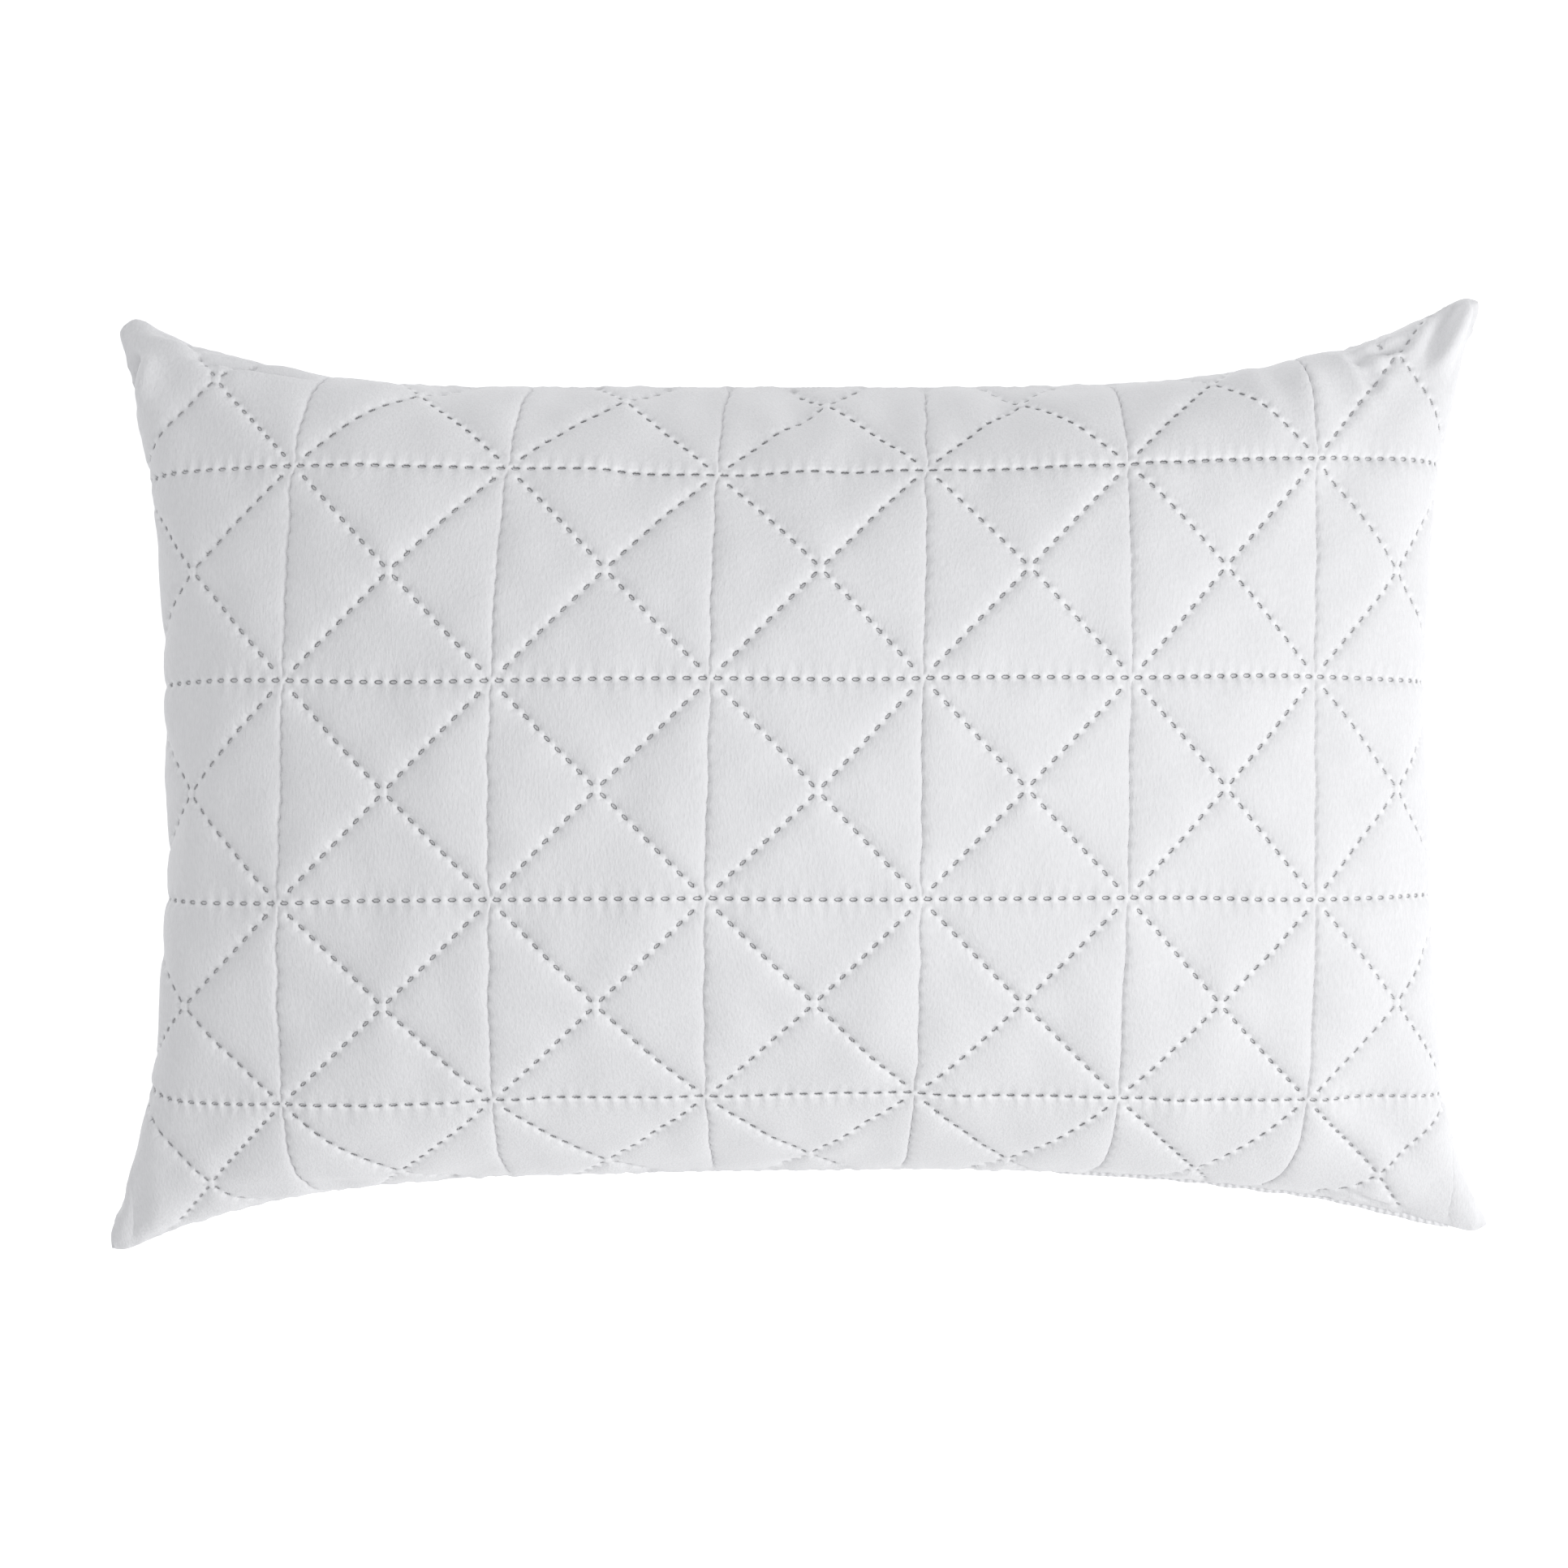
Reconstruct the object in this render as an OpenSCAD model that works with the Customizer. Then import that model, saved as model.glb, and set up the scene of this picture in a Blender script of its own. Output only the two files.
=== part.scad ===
// Rectangular bed pillow, lying on its back panel.
// Two quilted panels, each a shell fabric, a wadding and a lining, are joined
// by a turned seam all round and hold a loose fibre fill. The opening that it
// was filled through is closed by a stitched ridge on one long side.
// Frame: +X along the pillow's length, +Y across it, +Z up through the front
// face, with the origin under the middle, on the surface that it lies on.

/* [Filled pillow] */
// Length from corner tip to corner tip
pillow_length = 724; // [600:1:760]
// Width from corner tip to corner tip
pillow_width = 488; // [400:1:520]
// Height of the front crown above the seam
crown_height = 114; // [80:1:130]
// Height of the seam above the surface that the pillow lies on
seam_height = 91; // [60:1:95]
// How far each long side pulls in at its middle
long_side_pull = 36; // [10:1:50]
// How far each short side pulls in at its middle
short_side_pull = 28; // [10:1:45]

/* [Layers] */
// Thickness of the shell fabric with its welded face
shell_thickness = 0.8; // [0.5:0.1:1.5]
// Thickness of the wadding under the shell
wadding_thickness = 5; // [3:0.5:8]
// Thickness of the lining under the wadding
lining_thickness = 0.6; // [0.4:0.1:1.2]

/* [Perimeter seam] */
// Width of the turned-in raw edges
allowance_width = 9; // [6:0.5:12]
// Thickness of the turned-in raw edges
allowance_thickness = 1.6; // [1:0.1:2.4]
// Width of the band of overlock thread on the raw edges
overlock_width = 1.6; // [1:0.1:2.5]

/* [Closing seam] */
// Length of the ridge that closes the filling opening
closing_length = 206; // [120:1:260]
// Distance from the pillow's middle to the middle of the ridge
closing_centre = 234; // [150:1:240]
// How far the ridge stands out from the seam
closing_width = 4; // [2.5:0.5:6]
// Thickness of the ridge
closing_thickness = 2.4; // [1.6:0.1:3]
// Distance from one closing stitch to the next
stitch_pitch = 4.5; // [3.5:0.1:6]
// Length of one closing stitch
stitch_length = 3.2; // [2:0.1:3.4]
// Radius of the sewing thread
thread_radius = 0.3; // [0.2:0.05:0.4]

/* [Hidden] */

// Squares along the length and across the width of each panel's surface
columns = 22;
rows = 16;
// Rings of points along a quarter of the perimeter, for the seam's own pieces
seam_steps = 24;

half_length = pillow_length / 2;
half_width = pillow_width / 2;
// Powers that shape the pulled-in sides
long_side_power = 3.8;
short_side_power = 3.2;
// Powers that shape the crown: flat in the middle and steep at the sides
length_power = 3.2;
length_softness = 0.48;
width_power = 3;
width_softness = 0.72;
// The back would crown this far below the seam if nothing pressed on it
back_crown = crown_height;
// Half the gap that the seam's raw edges fill between the two panels
half_gap = allowance_thickness / 2;

// How deep each layer's outer face lies inside the pillow
shell_depth = 0;
wadding_depth = shell_depth + shell_thickness;
lining_depth = wadding_depth + wadding_thickness;
fill_depth = lining_depth + lining_thickness;
// The fill keeps clear of the raw edges
fill_inset = allowance_width + 2;
// The raw edges start just inside the seam
allowance_inset = 1;

// Outline of the seam. s and t run from -1 to 1 along the length and the width.
function edge_y(s) = half_width - long_side_pull * (1 - pow(abs(s), long_side_power));
function edge_x(t) = half_length - short_side_pull * (1 - pow(abs(t), short_side_power));

// Share of the crown's height at one place on a panel
function crown(s, t) =
    pow(1 - pow(abs(s), length_power), length_softness)
    * pow(1 - pow(abs(t), width_power), width_softness);

// Evenly counted steps that crowd towards the sides, where a panel is steepest
function crowded(step, count) = sin(180 * step / count - 90);

// One point of a panel's face that lies `depth` inside it, `inset` at the seam
function front_point(s, t, depth, inset) = [
    s * (edge_x(t) - inset),
    t * (edge_y(s) - inset),
    seam_height + half_gap + (crown_height - half_gap - depth) * crown(s, t)
];
function back_point(s, t, depth, inset) = [
    s * (edge_x(t) - inset),
    t * (edge_y(s) - inset),
    max(depth, seam_height - half_gap - (back_crown - half_gap - depth) * crown(s, t))
];
function panel_point(is_front, s, t, depth, inset) =
    is_front ? front_point(s, t, depth, inset) : back_point(s, t, depth, inset);
function panel_face(is_front, depth, inset) = [
    for (row = [0:rows])
        for (column = [0:columns])
            panel_point(is_front, crowded(column, columns), crowded(row, rows), depth, inset)
];

face_points = (rows + 1) * (columns + 1);
function at(column, row) = row * (columns + 1) + column;

// Triangles of a face, seen from below, with `first` its first point
function face_below(first) = [
    for (row = [0:rows - 1])
        for (column = [0:columns - 1])
            each [
                [first + at(column, row), first + at(column + 1, row), first + at(column + 1, row + 1)],
                [first + at(column, row), first + at(column + 1, row + 1), first + at(column, row + 1)]
            ]
];
function turned(triangles) = [for (corner = triangles) [corner[0], corner[2], corner[1]]];

// The points round the edge of a face, anticlockwise seen from above
edge_loop = [
    for (column = [0:columns - 1]) at(column, 0),
    for (row = [0:rows - 1]) at(columns, row),
    for (column = [columns:-1:1]) at(column, rows),
    for (row = [rows:-1:1]) at(0, row)
];
function band(upper, lower) = [
    for (step = [0:len(edge_loop) - 1])
        let (here = edge_loop[step], next = edge_loop[(step + 1) % len(edge_loop)])
            each [
                [upper + here, upper + next, lower + next],
                [upper + here, lower + next, lower + here]
            ]
];

// A closed solid between an upper and a lower face of the same grid
module between(upper, lower) {
    polyhedron(
        points = concat(upper, lower),
        faces = concat(
            turned(face_below(0)),
            face_below(face_points),
            band(0, face_points)
        )
    );
}

module front_layer(depth, thickness) {
    inner = depth + thickness;
    between(panel_face(true, depth, depth), panel_face(true, inner, inner));
}

module back_layer(depth, thickness) {
    inner = depth + thickness;
    between(panel_face(false, inner, inner), panel_face(false, depth, depth));
}

// Half a seam strip's outline, as the points of one long side from left to right
function long_side_points(inset, from, to, steps) = [
    for (step = [0:steps])
        let (s = from + (to - from) * step / steps)
            [s * (half_length - inset), edge_y(s) - inset]
];
function short_side_points(inset, steps) = [
    for (step = [1:steps - 1])
        let (t = 1 - 2 * step / steps)
            [edge_x(t) - inset, t * (half_width - inset)]
];
function turned_half_way(points) = [for (point = points) -point];

module seam_outline(inset) {
    half = concat(long_side_points(inset, -1, 1, 2 * seam_steps), short_side_points(inset, 2 * seam_steps));
    polygon(concat(half, turned_half_way(half)));
}

module seam_ring(inset, width, thickness) {
    translate([0, 0, seam_height - thickness / 2])
        linear_extrude(thickness)
            difference() {
                seam_outline(inset);
                seam_outline(inset + width);
            }
}

// The closing ridge runs along the lower long side
closing_from = (closing_centre - closing_length / 2) / half_length;
closing_to = (closing_centre + closing_length / 2) / half_length;
closing_steps = 30;

function closing_side(inset) = [
    for (point = long_side_points(inset, closing_from, closing_to, closing_steps)) [point[0], -point[1]]
];
function backwards(points) = [for (place = [len(points) - 1:-1:0]) points[place]];

// Where a stitch lies along the ridge, and the way the ridge runs there
function closing_s(along) = (closing_centre - closing_length / 2 + along) / half_length;
function closing_place(along) = [
    closing_s(along) * half_length,
    -edge_y(closing_s(along)) - closing_width * 0.55
];
function closing_turn(along) =
    let (way = closing_place(along + 1) - closing_place(along - 1))
        atan2(way[1], way[0]);

module front_shell_panel() {
    color("white")
        front_layer(shell_depth, shell_thickness);
}

module front_wadding() {
    color("whitesmoke")
        front_layer(wadding_depth, wadding_thickness);
}

module front_lining() {
    color("gainsboro")
        front_layer(lining_depth, lining_thickness);
}

module fibre_fill() {
    color("snow")
        between(
            panel_face(true, fill_depth, fill_inset),
            panel_face(false, fill_depth, fill_inset)
        );
}

module back_lining() {
    color("gainsboro")
        back_layer(lining_depth, lining_thickness);
}

module back_wadding() {
    color("whitesmoke")
        back_layer(wadding_depth, wadding_thickness);
}

module back_shell_panel() {
    color("white")
        back_layer(shell_depth, shell_thickness);
}

// The raw edges of both panels, turned inwards behind the seam
module seam_allowance() {
    color("ghostwhite")
        seam_ring(allowance_inset, allowance_width - overlock_width, allowance_thickness);
}

// The overlock thread that binds the raw edges
module seam_overlock_thread() {
    color("white")
        seam_ring(allowance_inset + allowance_width - overlock_width, overlock_width, allowance_thickness);
}

module closing_seam_ridge() {
    color("white")
        translate([0, 0, seam_height - closing_thickness / 2])
            linear_extrude(closing_thickness)
                polygon(concat(closing_side(0), backwards(closing_side(-closing_width))));
}

module stitch() {
    rotate([0, 90, 0])
        cylinder(r = thread_radius, h = stitch_length, center = true, $fn = 16);
}

// Stitches on the upper and the lower face of the closing ridge
module closing_stitches() {
    lift = closing_thickness / 2 + thread_radius;
    color("white")
        for (along = [stitch_pitch:stitch_pitch:closing_length - stitch_pitch])
            for (side = [-1, 1])
                translate([closing_place(along)[0], closing_place(along)[1], seam_height + side * lift])
                    rotate([0, 0, closing_turn(along)])
                        stitch();
}

front_shell_panel();
front_wadding();
front_lining();
fibre_fill();
back_lining();
back_wadding();
back_shell_panel();
seam_allowance();
seam_overlock_thread();
closing_seam_ridge();
closing_stitches();
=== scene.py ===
"""A quilted bed pillow. Two panels are cut flat, sewn together and inflated by a cloth simulation.
The quilting, its weld marks, the seam and the inner layers are then built on the inflated shape.
Everything is in metres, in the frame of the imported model: +X along the pillow, +Z out of its front."""
import math

import bpy
import numpy as np
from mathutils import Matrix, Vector
from mathutils.geometry import delaunay_2d_cdt


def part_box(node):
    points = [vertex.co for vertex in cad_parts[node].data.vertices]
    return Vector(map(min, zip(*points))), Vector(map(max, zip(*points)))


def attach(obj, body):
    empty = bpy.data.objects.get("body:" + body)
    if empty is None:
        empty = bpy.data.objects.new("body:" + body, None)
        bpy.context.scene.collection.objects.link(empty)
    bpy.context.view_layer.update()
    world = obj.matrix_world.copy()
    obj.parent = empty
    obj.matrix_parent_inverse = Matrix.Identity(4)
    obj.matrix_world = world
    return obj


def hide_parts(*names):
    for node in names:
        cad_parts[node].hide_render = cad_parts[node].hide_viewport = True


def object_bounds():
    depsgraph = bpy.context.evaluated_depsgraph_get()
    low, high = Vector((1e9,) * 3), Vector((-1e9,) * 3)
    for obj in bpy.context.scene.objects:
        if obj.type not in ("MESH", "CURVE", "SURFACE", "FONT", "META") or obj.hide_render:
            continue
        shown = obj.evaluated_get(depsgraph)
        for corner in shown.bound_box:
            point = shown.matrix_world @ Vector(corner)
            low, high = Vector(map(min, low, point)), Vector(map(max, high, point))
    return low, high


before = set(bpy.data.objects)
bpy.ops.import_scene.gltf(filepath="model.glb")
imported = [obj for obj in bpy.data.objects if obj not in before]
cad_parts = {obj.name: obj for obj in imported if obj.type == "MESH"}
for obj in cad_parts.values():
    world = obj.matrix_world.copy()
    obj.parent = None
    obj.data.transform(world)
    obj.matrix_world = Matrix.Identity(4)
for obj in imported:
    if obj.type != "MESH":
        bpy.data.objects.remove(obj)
CAD_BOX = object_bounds()
LOW, HIGH = CAD_BOX
SEAM_LOW, SEAM_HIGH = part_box("seam_allowance")
RIDGE_LOW, RIDGE_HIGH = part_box("closing_seam_ridge")

# The flat panel and the held seam.
FLAT_LENGTH = 0.75
FLAT_WIDTH = 0.50
HALF_U = FLAT_LENGTH / 2
HALF_V = FLAT_WIDTH / 2
HALF_X = (HIGH.x - LOW.x) / 2
HALF_Y = (HIGH.y - LOW.y) / 2
SEAM_Z = (SEAM_LOW.z + SEAM_HIGH.z) / 2
TIP_OUT = {(-1, 1): -0.0016, (1, 1): 0.0062, (-1, -1): 0.0112, (1, -1): 0.0054}
TIP_UP = 0.0065
LONG_PULL = {1: 0.0403, -1: 0.0340}
TOP_SLANT = -0.0055
LONG_BEND = {(-1, 1): 6.6, (1, 1): 4.9, (-1, -1): 4.6, (1, -1): 3.0}
SHORT_PULL = {-1: 0.0354, 1: 0.0424}
SHORT_BEND = {(-1, 1): 3.0, (1, 1): 3.0, (-1, -1): 3.5, (1, -1): 6.4}
TIP_SQUARE = 1.025
TIP_BLUNT = {
    (-1, 1): (0.0050, 0.0095),
    (1, 1): (0.0042, 0.0056),
    (-1, -1): (0.0055, 0.0035),
    (1, -1): (0.0058, 0.0060),
}
CORNER_DROOP = 0.008

# The inflation.
SIM_CELL = 0.0125
SIM_FRAMES = 50
SIM_PULL_FRAMES = 30
SIM_PRESSURE = 85
SIM_START_LOFT = 0.02

# The quilting: its squares, its turn on the panel, and the weld marks along its lines.
CELL_X = 0.1079
CELL_Y = 0.1124
LATTICE_SHIFT = (0.0027, -0.0040)
LATTICE_TURN = math.radians(-0.50)
LEAN = 0.0112
CREEP_X = (0.0053, 0.21)
CROWD_X = (-0.0032, 0.30)
BOW_X = (0.0014, 0.20)
BOW_Y = (-0.0024, 0.30)
CREEP_Y = (-0.0022, 0.15)
DRIFT = (0.0006, 0.16)
EDGE_DRAW = {1: 0.011, -1: 0.018}
EDGE_DRAW_REACH = 0.022
SIDE_DRAW = {(-1, 1): 0.006, (1, 1): 0.005, (-1, -1): 0.013, (1, -1): 0.006}
EDGE_DRAW_AT = 0.27
CORNER_DRAW = {
    (-1, 1): (0.009, 0.010),
    (1, 1): (0.000, -0.003),
    (-1, -1): (0.0215, 0.010),
    (1, -1): (0.0085, 0.011),
}
CORNER_AT = (0.33, 0.23)
CORNER_REACH = (0.09, 0.06)
MARKS_PER_SIDE = 14
MARKS_PER_HALF_DIAGONAL = 9
PITCH_X = CELL_X / MARKS_PER_SIDE
PITCH_Y = CELL_Y / MARKS_PER_SIDE
HALF_DIAGONAL = math.hypot(CELL_X, CELL_Y) / 2
FIRST_DIAGONAL_MARK = 0.0100
LAST_GAP = 0.0047
PITCH_D = (HALF_DIAGONAL - LAST_GAP - FIRST_DIAGONAL_MARK) / (MARKS_PER_HALF_DIAGONAL - 1)
DIAGONAL_X = CELL_X / 2 / HALF_DIAGONAL
DIAGONAL_Y = CELL_Y / 2 / HALF_DIAGONAL
ROW_MARK = (0.00190, 0.00085)
DIAGONAL_MARK = (0.00175, 0.00072)
MARK_DEPTH = 0.0006
SIDE_FADE = (0.25, 0.34)
RINGS = ((0.66, 6), (0.94, 10), (1.22, 10), (1.75, 6))

# The relief of the quilting.
PUFF = 0.0020
LINE_REACH = 0.0062
DIMPLE = 0.0021
DIMPLE_REACH = 0.0016
CREASE_DEPTH = 0.0018
CREASE_REACH = 0.0007
CREASE_ENDS = (3.1, 3.4)
CREASE_CLOSE = 0.0004
PUCKER = 0.00018
PUCKER_REACH = 0.0065

# The seam's edge, front and back.
EDGE_REACH = {1: 0.006, -1: 0.022}
LIP = 0.0009
LIP_AT = 0.0024
SEAM_PUCKER = 0.0005
BACK_SEAM_SHARE = 0.3
EDGE_ROWS = ((0.0, 0.0028), (0.0012, 0.0028), (0.0026, 0.0028), (0.0046, 0.0034), (0.0075, 0.0040))
EDGE_ROWS_WIDTH = EDGE_ROWS[-1][0]
BACKGROUND_STEP = 0.0056

# The layers under the shell, as depths below it.
WADDING_TOP, WADDING_BOTTOM = 0.0032, 0.0074
LINING_TOP, LINING_BOTTOM = 0.0077, 0.0083
FILL_TOP = 0.0090
LAYER_ROOM = 0.0105
LAYER_STEP = 0.0080
LAYER_INSET = 0.0120

# The seam allowance inside, its overlock thread, and the hand-closed opening.
SEAM_AIM = 0.050
ALLOWANCE = 0.009
ALLOWANCE_THICKNESS = 0.0016
OVERLOCK_PITCH = 0.0035
OVERLOCK_THREAD = 0.0003
RIDGE_OUT = 0.0015
RIDGE_HALF_THICKNESS = 0.0012
STITCH_PITCH = 0.0042
STITCH_THREAD = 0.00016
STITCH_SUNK = 0.00006

# Colours, linear.
FABRIC_COLORS = ((0.794, 0.793, 0.805, 1), (0.809, 0.807, 0.817, 1))
# The welds' ring: fused fabric, made far darker as painted shade on each pit's wall.
FUSED_AND_PIT_SHADE_COLOR = (0.085, 0.087, 0.095, 1)
# A painted highlight for the ring of bulging fabric round each mark.
HALO_HIGHLIGHT_COLOR = (0.90, 0.90, 0.91, 1)
WADDING_COLORS = ((0.82, 0.82, 0.82, 1), (0.90, 0.90, 0.89, 1))
LINING_COLORS = ((0.78, 0.79, 0.80, 1), (0.86, 0.86, 0.87, 1))
FILL_COLORS = ((0.80, 0.80, 0.79, 1), (0.93, 0.93, 0.92, 1))
THREAD_COLORS = ((0.76, 0.76, 0.77, 1), (0.84, 0.84, 0.85, 1))

# The camera sees the pillow from straight above.
CAMERA_HEIGHT = 2.6
FIELD_WIDTH = 0.8292
SENSOR = 36.0
CAMERA_PLACE = (-0.0079, -0.0059)
CAMERA_ROLL = math.radians(-0.8)


def smooth(low, high, value):
    """0 below low, 1 above high, and an even curve between."""
    t = np.clip((value - low) / (high - low), 0.0, 1.0)
    return t * t * (3 - 2 * t)


def waves(x, y, size, seed, count=9):
    """Smooth noise about -1 to 1 from a few sines of about that size, in any direction."""
    rng = np.random.default_rng(seed)
    total = np.zeros(np.shape(x))
    for _ in range(count):
        angle = rng.uniform(0, math.tau)
        phase = rng.uniform(0, math.tau)
        rate = math.tau / (size * rng.uniform(0.7, 1.5))
        total = total + np.sin(rate * (x * math.cos(angle) + y * math.sin(angle)) + phase)
    return total / math.sqrt(count)


# ---------------------------------------------------------------- the inflated shape

def tip(side, end):
    """Where a corner of the seam lies: side is -1 or 1 along X, end is -1 or 1 along Y."""
    return side * (HALF_X + TIP_OUT[side, end]), end * (HALF_Y + TIP_UP)


def pulled(middle, end, share, bend):
    """A side's distance out, from middle at its centre to end at its corner."""
    return middle + (end - middle) * min(1.0, TIP_SQUARE * abs(share)) ** bend


def seam_point(s, t):
    """Where the seam is held, for a point of the panel's edge at s along and t across, -1 to 1."""
    corner = (1 if s > 0 else -1, 1 if t > 0 else -1)
    if abs(t) == 1:
        left, right = tip(-1, corner[1]), tip(1, corner[1])
        x = left[0] + (right[0] - left[0]) * (s + 1) / 2
        y = t * pulled(HALF_Y - LONG_PULL[corner[1]], HALF_Y + TIP_UP, s, LONG_BEND[corner])
        y += TOP_SLANT * s * (1 - s * s) if t > 0 else 0
    else:
        x = s * pulled(HALF_X - SHORT_PULL[corner[0]], abs(tip(*corner)[0]), t, SHORT_BEND[corner])
        y = t * (HALF_Y + TIP_UP)
    if abs(s) == 1 and abs(t) == 1:
        x -= s * TIP_BLUNT[corner][0]
        y -= t * TIP_BLUNT[corner][1]
    z = -CORNER_DROOP * (abs(s) * abs(t)) ** 3
    return x, y, z


def panel_grids(columns, rows):
    """Vertices, held places, faces and edge list of two panels sharing their edge, and both index grids."""
    verts, held, pins = [], [], []
    grids = {1: {}, -1: {}}
    for face in (1, -1):
        for j in range(rows + 1):
            for i in range(columns + 1):
                s, t = 2 * i / columns - 1, 2 * j / rows - 1
                edge = i in (0, columns) or j in (0, rows)
                if edge and face == -1:
                    grids[-1][i, j] = grids[1][i, j]
                    continue
                loft = SIM_START_LOFT * math.sqrt(max(0.0, (1 - s * s) * (1 - t * t)))
                place = (HALF_U * s, HALF_V * t, face * loft)
                grids[face][i, j] = len(verts)
                if edge:
                    pins.append(len(verts))
                verts.append(place)
                held.append(seam_point(s, t) if edge else place)
    faces = []
    for face in (1, -1):
        g = grids[face]
        for j in range(rows):
            for i in range(columns):
                quad = [g[i, j], g[i + 1, j], g[i + 1, j + 1], g[i, j + 1]]
                faces.append(quad if face == 1 else quad[::-1])
    return verts, held, pins, faces, grids


def set_cloth(modifier, pins_name):
    """A light, limp cotton that is blown up and held along its seam."""
    cloth = modifier.settings
    cloth.quality = 8
    cloth.mass = 0.3
    cloth.vertex_group_mass = pins_name
    cloth.pin_stiffness = 1
    cloth.tension_stiffness = 30
    cloth.compression_stiffness = 10
    cloth.shear_stiffness = 10
    cloth.bending_stiffness = 2
    cloth.tension_damping = 5
    cloth.compression_damping = 5
    cloth.shear_damping = 5
    cloth.bending_damping = 0.5
    cloth.air_damping = 1
    cloth.use_pressure = True
    cloth.uniform_pressure_force = SIM_PRESSURE
    cloth.effector_weights.gravity = 0
    modifier.collision_settings.use_self_collision = False
    modifier.point_cache.frame_start = 1
    modifier.point_cache.frame_end = SIM_FRAMES


def inflate():
    """Blows up two flat panels while their seam is drawn in, and returns the front and back grids."""
    columns, rows = round(FLAT_LENGTH / SIM_CELL), round(FLAT_WIDTH / SIM_CELL)
    verts, held, pins, faces, grids = panel_grids(columns, rows)
    mesh = bpy.data.meshes.new("inflating")
    mesh.from_pydata(verts, [], faces)
    bag = bpy.data.objects.new("inflating", mesh)
    scene = bpy.context.scene
    scene.collection.objects.link(bag)
    bag.shape_key_add(name="flat")
    key = bag.shape_key_add(name="seam")
    key.data.foreach_set("co", np.array(held, np.float32).ravel())
    key.value = 0
    key.keyframe_insert("value", frame=1)
    key.value = 1
    key.keyframe_insert("value", frame=SIM_PULL_FRAMES)
    bag.vertex_groups.new(name="seam").add(pins, 1.0, "REPLACE")
    scene.frame_start, scene.frame_end = 1, SIM_FRAMES
    modifier = bag.modifiers.new("cloth", "CLOTH")
    set_cloth(modifier, "seam")
    for number in range(1, SIM_FRAMES + 1):
        scene.frame_set(number)
    done = bag.evaluated_get(bpy.context.evaluated_depsgraph_get()).data
    points = np.empty(len(done.vertices) * 3, np.float32)
    done.vertices.foreach_get("co", points)
    points = points.reshape(-1, 3).astype(float)
    key_data = mesh.shape_keys
    if key_data.animation_data:
        key_data.animation_data_clear()
    bpy.data.objects.remove(bag)
    bpy.data.meshes.remove(mesh)
    scene.frame_set(1)
    shapes = []
    for face in (1, -1):
        index = [[grids[face][i, j] for i in range(columns + 1)] for j in range(rows + 1)]
        shapes.append(points[np.array(index)] + (0, 0, SEAM_Z))
    return shapes


def settle(front, back):
    """Presses the back flat where it carries the pillow, on the floor at z = 0."""
    floor_z = LOW.z + PUFF
    soft = 0.008
    gap = back[..., 2] - floor_z
    back[..., 2] = floor_z + np.where(gap > 4 * soft, gap, soft * np.log1p(np.exp(gap / soft)))
    back[0], back[-1] = front[0], front[-1]
    back[:, 0], back[:, -1] = front[:, 0], front[:, -1]
    return front, back


def with_border(grid):
    """The grid with one more row all round, so that a spline through it ends on its edge."""
    grid = np.concatenate([2 * grid[:1] - grid[1:2], grid, 2 * grid[-1:] - grid[-2:-1]], 0)
    first, last = 2 * grid[:, :1] - grid[:, 1:2], 2 * grid[:, -1:] - grid[:, -2:-1]
    return np.concatenate([first, grid, last], 1)


def spline_weights(f):
    """Weights of the four nearest points of a cubic B-spline, and their slopes."""
    weight = [(1 - f) ** 3 / 6, (3 * f**3 - 6 * f**2 + 4) / 6,
              (-3 * f**3 + 3 * f**2 + 3 * f + 1) / 6, f**3 / 6]
    slope = [-((1 - f) ** 2) / 2, (3 * f**2 - 4 * f) / 2,
             (-3 * f**2 + 2 * f + 1) / 2, f**2 / 2]
    return weight, slope


class Panel:
    """A smooth surface through a simulated grid, in flat panel places u and v."""

    def __init__(self, grid, face):
        self.grid = with_border(grid)
        self.face = face
        self.rows, self.columns = grid.shape[0] - 1, grid.shape[1] - 1

    def at(self, u, v):
        """Points, unit normals pointing out, and unit directions along u."""
        s = np.clip((u / HALF_U + 1) / 2, 0, 1) * self.columns
        t = np.clip((v / HALF_V + 1) / 2, 0, 1) * self.rows
        i = np.minimum(s.astype(int), self.columns - 1)
        j = np.minimum(t.astype(int), self.rows - 1)
        weight_s, slope_s = spline_weights(s - i)
        weight_t, slope_t = spline_weights(t - j)
        point, along, across = (np.zeros((len(u), 3)) for _ in range(3))
        for b in range(4):
            for a in range(4):
                near = self.grid[j + b, i + a]
                point += near * (weight_t[b] * weight_s[a])[:, None]
                along += near * (weight_t[b] * slope_s[a])[:, None]
                across += near * (slope_t[b] * weight_s[a])[:, None]
        normal = np.cross(along, across) * self.face
        normal /= np.maximum(np.linalg.norm(normal, axis=1), 1e-9)[:, None]
        along /= np.maximum(np.linalg.norm(along, axis=1), 1e-9)[:, None]
        return point, normal, along


# ---------------------------------------------------------------- the quilting

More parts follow.
